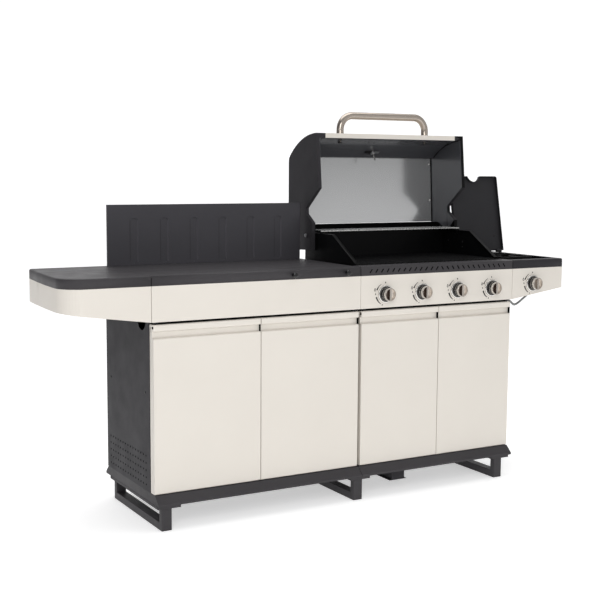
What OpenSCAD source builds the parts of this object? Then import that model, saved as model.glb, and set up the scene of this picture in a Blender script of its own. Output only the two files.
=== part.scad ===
// Outdoor-kitchen gas grill: a two-door worktop cabinet beside a two-door grill cabinet,
// with a folding-lid side burner on the right-hand shelf.
// While modelling, x = 0 is the seam between the cabinets, y = 0 the face of the control panel
// and z = 0 the ground. placed() then moves everything to the origin under the middle.

/* [Cabinets] */
// Width of the left worktop module
left_w = 887; // [800:1:960]
// Width of the grill module
grill_w = 771; // [740:1:800]
// Depth of the cabinets and worktops
depth = 490; // [480:1:520]
// Height of the worktop surface above the ground
top_z = 936; // [930:1:942]
// Height of the dark worktop edge
slab_h = 36; // [30:1:40]
// Height of the cream fascia under the worktop
fascia_h = 131; // [125:1:135]
// Thickness of the folded doors
door_t = 36; // [30:1:36]
// Perforation hole diameter in the cabinet sides
vent_d = 7.5; // [4:0.5:8]

/* [Feet] */
// Height of the sled feet
foot_h = 94; // [80:1:100]
// Width of the sled tube
foot_w = 40; // [30:1:50]

/* [Side shelves] */
// Reach of the left shelf beyond its cabinet
left_reach = 326; // [280:1:360]
// Reach of the right shelf beyond its cabinet
right_reach = 289; // [280:1:320]
// Rise of the shelf underside for each millimetre outwards
shelf_rise = 0.14; // [0.08:0.01:0.18]
// Radius of the left shelf's front corner
corner_r = 82; // [40:1:110]

/* [Hood] */
// Radius of the hood's big front curve
hood_r = 325; // [315:1:330]
// Height of the hood hinge above the ground
hinge_z = 1038; // [1034:1:1042]
// Distance of the hood hinge behind the control panel
hinge_y = 440; // [436:1:444]
// Diameter of the handle tube
handle_d = 32; // [22:1:36]

/* [Side burner] */
// Angle by which the side-burner lid stands open
lid_open = 101; // [90:1:105]

/* [Knobs] */
// Diameter of a control knob
knob_d = 60; // [50:1:60]
// How far a knob stands out from the panel
knob_reach = 37; // [32:1:40]

/* [Hidden] */
$fn = 48;
sheet = 1;
thick = 1.2;
gap = 0.8;
run = 0.05;
slab_z = top_z - slab_h;
fascia_z = slab_z - fascia_h;
door_bottom = 133;
door_top = fascia_z - 10;
door_front = 2;
door_back = door_front + door_t;
carcass_y = door_back + 6;
plinth_top = 130;
flare = 30;
left_out = -left_w + 7;
grill_out = grill_w - 7;
left_end = -left_w - left_reach;
right_end = grill_w + right_reach;
hood_back = 597;
mid_x = (left_end + right_end) / 2;
mid_y = (hood_back - knob_reach) / 2;

// Firebox box
box_x = [20, grill_w - 20];
box_y = [62, 478];
box_low = 800;
grate_z = 941;

// Knobs and burners
knob_pitch = 180;
burner_mid = 388;
burner_x = [for (i = [0:3]) burner_mid + (i - 1.5) * knob_pitch];
knob_z = 824;
side_knob_x = 884;
side_knob_z = 834;
side_burner = [914, 222];
stem_r = 4;
push = 4;

// Door hinges
pin_r = 3;
pin_in = 12;
door_x = [[left_out, -left_w / 2 - 1.5], [-left_w / 2 + 1.5, -7],
          [7, grill_w / 2 - 1.5], [grill_w / 2 + 1.5, grill_out]];
hinge_x = [door_x[0][0] + pin_in, door_x[1][1] - pin_in,
           door_x[2][0] + pin_in, door_x[3][1] - pin_in];
pin_y = door_front + pin_in;

// Side-burner lid
lid_axis = [404, top_z + 10];
lid_x = [778, 1050];
lid_len = 350;

// Hood, drawn open
cap_w = 14;
cap_band = 48;
hood_x = [3, grill_w - 3];
hood_c = [358, 1145];
lip_z = hood_c[1] + hood_r;
gauge_angle = 57.5;

dark = [0.27, 0.27, 0.28];
cream = [0.89, 0.87, 0.83];
black = [0.06, 0.06, 0.06];
steel = [0.72, 0.72, 0.70];
brass = [0.75, 0.6, 0.3];

// ---- shared shapes ----

function arc(c, r, a, b, n) = [for (i = [0:n]) c + r * [cos(a + (b - a) * i / n), sin(a + (b - a) * i / n)]];
function unit(v) = v / norm(v);
function left_of(v) = [-v[1], v[0]];
function reversed(p) = [for (i = [len(p) - 1:-1:0]) p[i]];
// An anticlockwise outline moved inwards by d
function inset(p, d) = [for (i = [0:len(p) - 1])
    let (a = left_of(unit(p[i] - p[(i + len(p) - 1) % len(p)])),
         b = left_of(unit(p[(i + 1) % len(p)] - p[i])))
    p[i] + d * (a + b) / (1 + a * b)];
// An open path moved to its left by d
function beside(p, d) = [for (i = [0:len(p) - 1])
    let (a = left_of(unit(i > 0 ? p[i] - p[i - 1] : p[1] - p[0])),
         b = left_of(unit(i < len(p) - 1 ? p[i + 1] - p[i] : p[i] - p[i - 1])))
    p[i] + d * (a + b) / (1 + a * b)];
function strip(p, t) = concat(p, reversed(beside(p, t)));
function bezier(a, b, c, n) = [for (i = [0:n])
    let (t = i / n) (1 - t) * (1 - t) * a + 2 * t * (1 - t) * b + t * t * c];
function rounded(x, y, r) = concat(
    arc([x[1] - r, y[0] + r], r, -90, 0, 6), arc([x[1] - r, y[1] - r], r, 0, 90, 6),
    arc([x[0] + r, y[1] - r], r, 90, 180, 6), arc([x[0] + r, y[0] + r], r, 180, 270, 6));

module placed() translate([-mid_x, -mid_y, 0]) children();
module box(x, y, z) translate([x[0], y[0], z[0]]) cube([x[1] - x[0], y[1] - y[0], z[1] - z[0]]);
module yz_solid(p, x) translate([x[0], 0, 0]) rotate([90, 0, 90]) linear_extrude(x[1] - x[0]) polygon(p);
module xz_solid(p, y) translate([0, y[1], 0]) rotate([90, 0, 0]) linear_extrude(y[1] - y[0]) polygon(p);
module xy_solid(p, z) translate([0, 0, z[0]]) linear_extrude(z[1] - z[0]) polygon(p);
module rod_x(y, z, r, x) translate([x[0], y, z]) rotate([0, 90, 0]) cylinder(r = r, h = x[1] - x[0]);
module rod_y(x, z, r, y) translate([x, y[0], z]) rotate([-90, 0, 0]) cylinder(r = r, h = y[1] - y[0]);
module rod_z(x, y, r, z) translate([x, y, z[0]]) cylinder(r = r, h = z[1] - z[0]);
// A body of revolution whose axis runs forwards (towards -y) from the point given
module turned_y(x, y, z, p) translate([x, y, z]) rotate([90, 0, 0]) rotate_extrude() polygon(p);
// Mirror image about the middle plane of the grill module
module mirrored_grill() translate([grill_w, 0, 0]) mirror([1, 0, 0]) children();

// A sheet box with open underside
module pan(x, y, z, t) difference() {
    box(x, y, z);
    box([x[0] + t, x[1] - t], [y[0] + t, y[1] - t], [z[0] - 1, z[1] - t]);
}

// ---- base ----

// A welded loop of square tube under a flanged plate
module sled(x) {
    outer = [-21, 466];
    post = 25;
    rail = 30;
    wall = 2.5;
    bore = [x + wall, x + foot_w - wall];
    difference() {
        box([x, x + foot_w], outer, [0, foot_h - 1]);
        box([x - 1, x + foot_w + 1], [outer[0] + post, outer[1] - post], [rail, foot_h]);
        box(bore, [outer[0] + wall, outer[1] - wall], [wall, rail - wall]);
        for (y = [outer[0], outer[1] - post]) box(bore, [y + wall, y + post - wall], [wall, foot_h - 3]);
        rod_y(x + foot_w / 2, 60, 4, [outer[0] + post - wall - 1, outer[0] + post + 1]);
    }
    pan([x - 16, x + foot_w + 36], [outer[0] - 4, outer[1] + 4], [foot_h - 10, foot_h], 2);
}

module sled_feet() placed() color(dark) for (x = [-863, -36, 679]) sled(x);

plinth_profile = [[-flare + 2, foot_h], [depth + flare - 2, foot_h], [depth + flare - 2, foot_h + 8],
                  [depth, plinth_top], [2, plinth_top], [-flare + 2, foot_h + 8]];
module plinth(x) difference() {
    yz_solid(plinth_profile, x);
    yz_solid(inset(plinth_profile, thick), [x[0] + thick, x[1] - thick]);
    box([x[0] + 30, x[1] - 30], [10, 460], [foot_h - 1, foot_h + thick + 1]);
}
module plinths() placed() color(dark) {
    plinth([left_out + 2, -gap]);
    plinth([gap, grill_out + 3]);
}

// A pressed channel under the grill cabinet, with flanged sides
module underfloor_bracket() placed() color(dark) {
    difference() {
        box([176, 238], [20, 130], [45, plinth_top - thick]);
        box([176 + thick, 238 - thick], [20 + thick, 131], [45 + thick, plinth_top]);
    }
    for (x = [[166, 176], [238, 248]]) box(x, [20, 130], [45, 47]);
}

// ---- cabinets ----

vent_y = [84, 452];
vent_z = [154, 263];
// A side panel with its returns turned towards +x, from x
module side_panel(x) {
    box([x, x + sheet], [carcass_y, depth], [plinth_top + 2, slab_z]);
    for (y = [carcass_y, depth - sheet]) box([x, x + 18], [y, y + sheet], [plinth_top + 2, slab_z]);
}
module outer_side(x) difference() {
    side_panel(x);
    for (i = [0:14], k = [0:4])
        rod_x(vent_y[0] + i * (vent_y[1] - vent_y[0]) / 14, vent_z[0] + k * (vent_z[1] - vent_z[0]) / 4,
            vent_d / 2, [x - 1, x + sheet + 1], $fn = 16);
    rod_x(116, fascia_z - 1, 40, [x - 1, x + sheet + 1]);
}
module left_outer_side() placed() color(dark) outer_side(left_out);
module grill_outer_side() placed() color(dark) translate([grill_out, 0, 0]) mirror([1, 0, 0]) outer_side(0);
module inner_sides() placed() color(dark) {
    side_panel(gap);
    mirror([1, 0, 0]) side_panel(gap);
}
module cabinet_backs() placed() color(dark) {
    box([left_out + sheet, -gap - sheet], [depth - 2 * sheet, depth - sheet], [plinth_top + 2, slab_z - 10]);
    box([gap + sheet, grill_out - sheet], [depth - 2 * sheet, depth - sheet], [plinth_top + 2, fascia_z - 4]);
}
module cabinet_floors() placed() color(dark) {
    box([left_out + sheet, -gap - sheet], [carcass_y, depth - sheet], [plinth_top, plinth_top + 2]);
    box([gap + sheet, grill_out - sheet], [carcass_y, depth - sheet], [plinth_top, plinth_top + 2]);
}
module cabinet_shelf() placed() color(dark) {
    x = [left_out + sheet, -gap - sheet];
    box(x, [carcass_y + 2, depth - 2 * sheet], [440, 442]);
    box(x, [carcass_y + 2, carcass_y + 4], [420, 442]);
}

// ---- doors ----

pull_z = [door_top - 50, door_top - 24];
pull_y = door_front + 13;
door_profile = [[door_front + 3, door_bottom], [door_back, door_bottom], [door_back, door_top],
    [door_front + 3, door_top], [door_front, door_top - 3], [door_front, pull_z[1] + 5],
    [door_front + 1.5, pull_z[1] + 1.5], [door_front + 5, pull_z[1]], [pull_y, pull_z[1]],
    [pull_y, pull_z[0]], [door_front + 3, pull_z[0]], [door_front, pull_z[0] - 3],
    [door_front, door_bottom + 3]];
// A hollow double-skinned door with a bush at each end for its hinge pins
module door(n) {
    x = door_x[n];
    difference() {
        union() {
            difference() {
                yz_solid(door_profile, x);
                yz_solid(inset(door_profile, thick), [x[0] + thick, x[1] - thick]);
            }
            rod_z(hinge_x[n], pin_y, 8, [door_bottom + 1, door_bottom + 16]);
            rod_z(hinge_x[n], pin_y, 8, [door_top - 16, door_top - 1]);
        }
        rod_z(hinge_x[n], pin_y, pin_r + run, [door_bottom - 1, door_bottom + 17]);
        rod_z(hinge_x[n], pin_y, pin_r + run, [door_top - 17, door_top + 1]);
        rod_x(door_back - 10, door_top - 12, 4, [x[0] - 1, x[0] + thick + 1]);
    }
}
module door_1() placed() color(cream) door(0);
module door_2() placed() color(cream) door(1);
module door_3() placed() color(cream) door(2);
module door_4() placed() color(cream) door(3);

// Hinge blocks with their pins above and below each door, and a magnet catch for each door
module door_hardware() placed() color(steel) {
    for (x = hinge_x) {
        box([x - 9, x + 9], [9, 40], [door_top + 3, fascia_z]);
        rod_z(x, pin_y, pin_r, [door_top - 15, door_top + 4]);
        rod_z(x, pin_y, 6, [plinth_top, door_bottom - 0.3]);
        rod_z(x, pin_y, pin_r, [plinth_top, door_bottom + 15]);
    }
    for (x = [door_x[0][1] - 40, door_x[1][0] + 40, door_x[2][1] - 40, door_x[3][0] + 40]) {
        box([x - 20, x + 20], [20, 54], [fascia_z - 4, fascia_z]);
        box([x - 20, x + 20], [40, 54], [fascia_z - 24, fascia_z - 4]);
    }
}

// ---- fascias ----

// A folded front panel with returns on all four sides
module folded_front(x, z, y_back) difference() {
    box(x, [0, y_back], z);
    box([x[0] + sheet, x[1] - sheet], [sheet, y_back + 1], [z[0] + sheet, z[1] - sheet]);
}
module left_fascia() placed() color(cream) folded_front([-left_w + gap, -gap], [fascia_z, slab_z], 28);
module control_panel() placed() color(cream) difference() {
    folded_front([gap, grill_w - gap], [fascia_z, slab_z], 28);
    for (x = burner_x) rod_y(x, knob_z, 11, [-1, sheet + 1]);
}

// Plan of the left shelf: a straight front, a big front corner and a slightly bowed end
left_plan = concat(
    [[-left_w - gap, 0], [-left_w - gap, depth]],
    arc([left_end + 37, depth - 12], 12, 90, 175, 5),
    bezier([left_end + 24.7, depth - 14], [left_end + 4.5, 304], [left_end, corner_r + 40], 8),
    arc([left_end + corner_r, corner_r], corner_r, 180, 270, 12));
right_plan = concat([[grill_w + gap, depth], [grill_w + gap, 0]],
    arc([right_end - 16, 16], 16, -90, 0, 5), arc([right_end - 16, depth - 16], 16, 0, 90, 5));

// The wall under a shelf top: follows the plan, its lower edge rises outwards
module shelf_wall(p, inner, x_in, x_out) difference() {
    xy_solid(p, [fascia_z, slab_z]);
    xy_solid(inner, [fascia_z - 1, slab_z + 1]);
    xz_solid([[x_in, fascia_z - 2], [x_out, fascia_z - 2],
        [x_out, fascia_z + shelf_rise * abs(x_out - x_in)], [x_in, fascia_z]], [-1, depth + 1]);
}
module left_shelf_fascia() placed() color(cream)
    shelf_wall(left_plan, inset(left_plan, sheet), -left_w - gap, left_end - 5);
module right_shelf_fascia() placed() color(cream) difference() {
    shelf_wall(right_plan, inset(right_plan, sheet), grill_w + gap, right_end + 5);
    rod_y(side_knob_x, side_knob_z, 11, [-1, sheet + 1]);
}
module shelf_brackets() placed() color(dark) for (y = [70, 420]) {
    box([left_end + 60, -left_w - gap - sheet], [y, y + 24], [slab_z - 50, slab_z - 20]);
    box([grill_w + gap + sheet, right_end - 20], [y, y + 24], [slab_z - 80, slab_z - 54]);
}

// ---- worktops ----

module left_worktop() placed() color(dark) pan([-left_w + gap, -gap], [0, depth], [slab_z, top_z], thick);
module left_shelf_top() placed() color(dark) difference() {
    xy_solid(left_plan, [slab_z, top_z]);
    xy_solid(inset(left_plan, thick), [slab_z - 1, top_z - thick]);
}
well_x = [786, 1044];
well_y = [44, 392];
module right_shelf_top() placed() color(dark) difference() {
    xy_solid(right_plan, [slab_z, top_z]);
    xy_solid(inset(right_plan, thick), [slab_z - 1, top_z - thick]);
    box(well_x, well_y, [slab_z, top_z + 1]);
}
// Louvred front rail: slots lean one way on its left half and the other way on its right half
module front_rail() placed() color(dark) difference() {
    box([gap, grill_w - gap], [0, box_y[0]], [slab_z, top_z + 1]);
    box([gap + thick, grill_w - gap - thick], [thick, box_y[0] + 1], [slab_z - 1, top_z + 1 - thick]);
    for (i = [0:12], side = [-1, 1])
        translate([grill_w / 2 + side * (13.5 + 27 * i), -1, slab_z + 18.5])
            rotate([0, -side * 35, 0]) translate([-2.5, 0, -9]) cube([5, thick + 2, 18]);
}

// Pressed back panel: six tall round-cornered flutes sunk 3 mm into its face
flute_pitch = 129.4;
flute_deep = 3;
module flute(i, grow, y)
    xz_solid(rounded([flute_pitch * i - 787 - grow, flute_pitch * i - 753 + grow],
        [top_z + 8 - grow, top_z + 186 + grow], 14 + grow), y);
module splash_panel() placed() color(dark) {
    x = [-880, -15];
    y = 463;
    difference() {
        union() {
            difference() {
                box(x, [y, y + 12], [top_z, top_z + 240]);
                box([x[0] + sheet, x[1] - sheet], [y + sheet, y + 13], [top_z + sheet, top_z + 240 - sheet]);
            }
            for (i = [0:5]) flute(i, sheet, [y + sheet / 2, y + flute_deep + sheet]);
        }
        for (i = [0:5]) flute(i, 0, [y - 1, y + flute_deep]);
    }
}
module worktop_pegs() placed() color(black) for (x = [-305, -66])
    turned_y(x, 0, top_z - 19, [[0, 0], [7, 0], [6, 8], [10, 10], [11, 14], [9, 19], [5, 21], [0, 21.5]]);

// ---- firebox ----

box_side = [[box_y[0], box_low], [box_y[1], box_low], [box_y[1], 1050], [258, 1050], [box_y[0], grate_z - 6]];
module firebox() placed() color(black) {
    difference() {
        yz_solid(box_side, box_x);
        box([box_x[0] + thick, box_x[1] - thick], [box_y[0] + thick, box_y[1] - thick], [box_low - 1, 1100]);
        for (x = burner_x) rod_y(x, 850, 17, [box_y[0] - 1, box_y[0] + 6]);
    }
    box(box_x, [box_y[1] - thick, box_y[1]], [1040, 1062]);
    // ledges for the tamers and grates
    for (y = [[box_y[0] + thick, box_y[0] + 12], [box_y[1] - 12, box_y[1] - thick]], z = [876, grate_z - 16])
        box([box_x[0] + thick, box_x[1] - thick], y, [z, z + 3]);
    // turned-in top flanges and rack seats at both sides
    firebox_side_trim();
    mirrored_grill() firebox_side_trim();
    // ledges and hanging ears out to the cabinet sides
    for (x = [[gap, box_x[0] + 0.5], [box_x[1] - 0.5, grill_w - gap]]) box(x, box_y, [904, 906]);
    for (x = [[gap + sheet, box_x[0] + 0.5], [box_x[1] - 0.5, grill_out - sheet]], y = [100, 400])
        box(x, [y, y + 40], [880, 896]);
}
module firebox_side_trim() {
    x = [box_x[0] + thick - 0.5, box_x[0] + 16];
    yz_solid([[258, 1048], [box_y[1] - 1, 1048], [box_y[1] - 1, 1050], [258, 1050]], x);
    yz_solid(strip([[box_y[0] + 20, grate_z + 5.7], [258, 1050]], -thick), x);
    for (y = [352, 456]) xz_solid([[x[0], 1036], [x[0] + 6, 1031], [x[0] + 11, 1032], [x[0] + 15, 1038],
        [x[0] + 17, 1055], [x[0], 1055]], [y - 1.5, y + 1.5]);
}
module burner_tubes() placed() color(steel) for (x = burner_x) difference() {
    rod_y(x, 850, 15, [54, 452]);
    rod_y(x, 850, 13.5, [53, 450]);
    for (i = [0:17], side = [-1, 1])
        translate([x + side * 11, 90 + 20 * i, 858]) cube([8, 2.5, 8], center = true);
}
module flame_tamers() placed() color(steel) for (x = burner_x)
    xz_solid(strip([[x + 58, 880], [x, 908], [x - 58, 880]], -1.5), [box_y[0] + 4, box_y[1] - 4]);

grate_w = 238;
module grate(x) {
    y = [box_y[0] + 4, box_y[1] - 4];
    for (i = [0:11])
        box([x + i * (grate_w - 7) / 11, x + i * (grate_w - 7) / 11 + 7], y, [grate_z - 13, grate_z]);
    for (p = [y[0], 190, 330, y[1] - 9]) box([x, x + grate_w], [p, p + 9], [grate_z - 13, grate_z - 4]);
}
module cooking_grates() placed() color(black) for (i = [0:2]) grate(box_x[0] + thick + 5 + i * 241);

rack_z = 1058.5;
module warming_rack() placed() color(steel) {
    for (y = [352, 456]) rod_x(y, rack_z, 3.5, [22.5, grill_w - 22.5]);
    for (i = [0:37]) rod_y(34 + 19 * i, rack_z + 2, 2, [349, 459], $fn = 16);
}

// ---- gas train ----

module gas_manifold() placed() color(steel) {
    rod_x(34, knob_z - 26, 9, [54, hose_start[0] + 6]);
    rod_z(hose_start[0], hose_start[1], 7, [hose_start[2], knob_z - 26]);
    rod_x(34, knob_z - 26, 12, [40, 54]);
    rod_x(34, knob_z - 26, 5, [22, 41]);
}
// Brass taps: stem bore, counterbore for the return collar, jet and feed boss
module tap(x, z) difference() {
    union() {
        rod_y(x, z, 13, [8, 46]);
        rod_y(x, z + 22, 4, [38, 53]);
        box([x - 7, x + 7], [30, 46], [z, z + 26]);
        box([x - 8, x + 8], [27, 41], [z - 17, z]);
    }
    rod_y(x, z, stem_r + run + 0.02, [7, 40]);
    rod_y(x, z, 9.6, [7, 16]);
}
module gas_valves() placed() color(brass) {
    for (x = burner_x) tap(x, knob_z);
    tap(side_knob_x, side_knob_z);
    box([side_knob_x, hose_end[0] + 7], [27, 41], [side_knob_z - 17, side_knob_z - 5]);
    rod_z(hose_end[0], hose_end[1], 7, [hose_end[2], side_knob_z - 16]);
}
module knob_bezels() placed() color(steel) for (k = knob_places)
    turned_y(k[0], 0, k[1], [[30, 0], [36.5, 0], [36.5, 2], [35, 5], [32, 6], [30, 5]]);

knob_places = concat([for (x = burner_x) [x, knob_z]], [[side_knob_x, side_knob_z]]);
// Knob and stem: a ringed drum whose face has a grip bar between two half-round pockets
module knob(n) {
    x = knob_places[n][0];
    z = knob_places[n][1];
    r = knob_d / 2 - 0.8;
    face = knob_reach - 7;
    pocket = 10;
    difference() {
        turned_y(x, -7, z, [[0, 0], [r, 0], [r, 8], [r - 1, 9], [r - 4, 9.5], [r - 4, 11.5],
            [r - 1.6, 12], [r - 1.6, 14], [r - 4, 14.6], [r - 4, 19], [r - 3, 20],
            [r - 3, face - 1], [r - 4, face], [0, face]]);
        for (side = [0, 180]) translate([x, 0, z]) rotate([0, side, 0]) intersection() {
            rod_y(0, 0, r - 6.4, [-knob_reach - 1, pocket - face - 7]);
            box([4, r], [-knob_reach - 1, pocket - face - 7], [-r, r]);
        }
    }
    rod_y(x, z, stem_r, [-8, 34]);
}
module knob_1() placed() color(steel) knob(0);
module knob_2() placed() color(steel) knob(1);
module knob_3() placed() color(steel) knob(2);
module knob_4() placed() color(steel) knob(3);
module knob_5() placed() color(steel) knob(4);
module stem_collar(n) difference() {
    rod_y(knob_places[n][0], knob_places[n][1], 9, [6, 10]);
    rod_y(knob_places[n][0], knob_places[n][1], stem_r + run, [5, 11]);
}
module stem_collar_1() placed() color(steel) stem_collar(0);
module stem_collar_2() placed() color(steel) stem_collar(1);
module stem_collar_3() placed() color(steel) stem_collar(2);
module stem_collar_4() placed() color(steel) stem_collar(3);
module stem_collar_5() placed() color(steel) stem_collar(4);

// Corrugated metal hose from the manifold end, out below the side shelf and up to its tap
hose_start = [728, 34, 778];
hose_end = [896, 34, 806];
hose_route = [hose_start, [728, 34, 770], [728, 44, 763], [732, 62, 758], [745, 86, 754],
    [764, 103, 755], [785, 92, 761], [803, 70, 760], [815, 60, 750], [826, 58, 740],
    [837, 59, 736.5], [849, 60, 739], [863, 59, 747], [876, 57, 757], [888, 52, 768],
    [895, 42, 782], [896, 34, 797], hose_end];
hose_r = 5;
hose_rings = 68;
// Catmull-Rom point at t between 0 and len - 1
function spline(p, t) =
    let (i = min(floor(t), len(p) - 2), u = t - i,
         a = p[max(i - 1, 0)], b = p[i], c = p[i + 1], d = p[min(i + 2, len(p) - 1)])
    0.5 * (2 * b + (c - a) * u + (2 * a - 5 * b + 4 * c - d) * u * u + (3 * b - a - 3 * c + d) * u * u * u);
module tube_along(p, r, rings, sides) {
    pts = [for (i = [0:rings]) spline(p, i * (len(p) - 1) / rings)];
    last = len(p) - 1;
    way = [for (i = [0:rings])
        i == 0 ? p[1] - p[0] : i == rings ? p[last] - p[last - 1] : pts[i + 1] - pts[i - 1]];
    side = [for (i = [0:rings]) unit(cross([0, 1, 0.2], way[i]))];
    up = [for (i = [0:rings]) unit(cross(side[i], way[i]))];
    polyhedron(
        points = [for (i = [0:rings], k = [0:sides - 1])
            pts[i] + r * (cos(360 * k / sides) * side[i] + sin(360 * k / sides) * up[i])],
        faces = concat([[for (k = [0:sides - 1]) k]],
            [[for (k = [sides - 1:-1:0]) rings * sides + k]],
            [for (i = [0:rings - 1], k = [0:sides - 1])
                [i * sides + k, (i + 1) * sides + k,
                 (i + 1) * sides + (k + 1) % sides, i * sides + (k + 1) % sides]]));
}
module gas_hose() placed() color(steel) tube_along(hose_route, hose_r, hose_rings, 10);

// ---- side burner ----

well_floor = slab_z - 8;
module side_burner_well() placed() color(black) difference() {
    box([well_x[0] + 0.5, well_x[1] - 0.5], [well_y[0] + 0.5, well_y[1] - 0.5], [well_floor, top_z - 1]);
    box([well_x[0] + 1.5, well_x[1] - 1.5], [well_y[0] + 1.5, well_y[1] - 1.5], [well_floor + sheet, top_z]);
    rod_z(side_burner[0], side_burner[1], 24, [well_floor - 1, well_floor + 3]);
}
module side_burner_head() placed() color(black) {
    rod_z(side_burner[0], side_burner[1], 22, [side_knob_z + 10, well_floor + 12]);
    rod_z(side_burner[0], side_burner[1], 44, [well_floor + 10, well_floor + 24]);
    rod_z(side_burner[0], side_burner[1], 36, [well_floor + 24, well_floor + 33]);
    rod_y(side_knob_x, side_knob_z + 22, 9, [57, side_burner[1] + 9]);
    rod_x(side_burner[1], side_knob_z + 22, 9, [side_knob_x, side_burner[0]]);
}
module side_burner_trivet() placed() color(black) {
    half = 84;
    z = [top_z - 6, top_z + 3];
    c = side_burner;
    for (s = [-1, 1]) {
        box([c[0] - half, c[0] + half], [c[1] + s * (half - 4) - 4, c[1] + s * (half - 4) + 4], z);
        box([c[0] + s * (half - 4) - 4, c[0] + s * (half - 4) + 4], [c[1] - half, c[1] + half], z);
        for (t = [-1, 1])
            box([c[0] + s * (half - 4) - 4, c[0] + s * (half - 4) + 4],
                [c[1] + t * (half - 4) - 4, c[1] + t * (half - 4) + 4], [well_floor + sheet, z[1]]);
    }
    for (a = [0:90:270])
        translate([c[0], c[1], z[0]]) rotate(a) translate([24, -3.5, 0]) cube([half - 26, 7, 9]);
}

// The lid is drawn shut and turned back about its hinge
module lid_swing() translate([0, lid_axis[0], lid_axis[1]]) rotate([-lid_open, 0, 0])
    translate([0, -lid_axis[0], -lid_axis[1]]) children();
lid_z = [lid_axis[1] - 8, lid_axis[1] + 8];
lid_knuckle = [[800, 816], [1012, 1028]];
lid_plan = concat([[lid_x[1], lid_axis[0]]], [[lid_x[0], lid_axis[0]]],
    arc([lid_x[0] + 10, lid_axis[0] - lid_len + 10], 10, 180, 270, 4),
    arc([(lid_x[0] + lid_x[1]) / 2, lid_axis[0] - lid_len - 12], 38, 162, 18, 12),
    arc([lid_x[1] - 10, lid_axis[0] - lid_len + 10], 10, -90, 0, 4));
module side_burner_lid() placed() color(dark) lid_swing() difference() {
    union() {
        difference() {
            xy_solid(lid_plan, lid_z);
            xy_solid(inset(lid_plan, sheet), [lid_z[0] - 1, lid_z[1] - sheet]);
            box([lid_x[0] + 4, lid_x[1] - 4], [lid_axis[0] - 12, lid_axis[0] + 1],
                [lid_z[0] - 1, lid_z[1] - sheet]);
        }
        for (x = lid_knuckle) {
            rod_x(lid_axis[0], lid_axis[1], 7, x);
            box(x, [lid_axis[0] - 6, lid_axis[0]], [lid_axis[1], lid_z[1] - 0.5]);
        }
    }
    for (x = lid_knuckle) rod_x(lid_axis[0], lid_axis[1], pin_r + run, [x[0] - 1, x[1] + 1]);
}
module lid_hinge_brackets() placed() color(steel) for (k = [0, 1]) {
    x = k == 0 ? [788, 799.5] : [1028.5, 1040];
    box(x, [lid_axis[0] - 6, lid_axis[0] + 4], [top_z, lid_axis[1]]);
    rod_x(lid_axis[0], lid_axis[1], 5.8, x);
    rod_x(lid_axis[0], lid_axis[1], pin_r, k == 0 ? [x[0], 815] : [1013, x[1]]);
}

// ---- hood, drawn open ----

cap_low = [[388, 978], [502, 973], [545, 1012]];
hood_outer = concat([[570.6, 1085], [hood_back, 1160], [hood_back, 1350], [594.5, 1366]],
    arc(hood_c, hood_r, 46, 89.3, 14));
hood_front = [[339, 1240], [446, 1153], [444, 1130], [390, 1094]];
cap_profile = concat(cap_low, hood_outer, hood_front);
lip = [[hood_outer[len(hood_outer) - 1][0], lip_z - 20]];

module end_cap() difference() {
    union() {
        difference() {
            yz_solid(cap_profile, [hood_x[0], hood_x[0] + cap_w]);
            yz_solid(inset(cap_profile, thick), [hood_x[0] + thick, hood_x[0] + cap_w + 1]);
        }
        yz_solid(strip(concat(hood_outer, lip), thick), [hood_x[0] + cap_w - 0.5, cap_band - 0.3]);
        rod_x(hinge_y, hinge_z, 9, [hood_x[0], hood_x[0] + cap_w - 2]);
    }
    rod_x(hinge_y, hinge_z, stem_r + run, [hood_x[0] - 1, hood_x[0] + cap_w]);
}
module hood_end_caps() placed() color(dark) {
    end_cap();
    mirrored_grill() end_cap();
}
handle_x = [164, grill_w - 163];
handle_y = 435;
handle_z = 1549;
module hood_skin() placed() color(cream) difference() {
    yz_solid(strip(concat(hood_outer, lip), thick), [cap_band, grill_w - cap_band]);
    for (x = handle_x) rod_z(x, handle_y, 4.4, [1400, 1480]);
    at_gauge() rod_z(0, 0, 6, [-30, 5]);
}
inner_path = concat([[577, 1374.5]], arc(hood_c, hood_r - 20, 48.5, 88.6, 12));
module hood_inner_shell() placed() color(black) {
    x = [hood_x[0] + cap_w + 2, grill_w - hood_x[0] - cap_w - 2];
    difference() {
        union() {
            yz_solid(strip(inner_path, sheet), x);
            // rear baffle below the liner
            yz_solid(strip([[514, 1058], [514, 1077.5], [557, 1078]], sheet), x);
        }
        for (hx = handle_x) rod_z(hx, handle_y, 4.4, [1400, 1480]);
        at_gauge() rod_z(0, 0, 6, [-40, 5]);
    }
    for (side = [x[0] - 1.5, x[1] - 0.5])
        difference() {
            yz_solid(inset(cap_profile, thick + 0.5), [side, side + 2]);
            rod_x(hinge_y, hinge_z, 8, [side - 1, side + 3]);
            box([side - 1, side + 3], [300, lip[0][0] + thick + 0.4], [lip_z - 20.6, lip_z + 1]);
        }
}
module hood_liner() placed() color(steel)
    yz_solid(strip([[561, 1080], [580.5, 1375]], sheet),
        [hood_x[0] + cap_w + 3, grill_w - hood_x[0] - cap_w - 3]);

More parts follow.
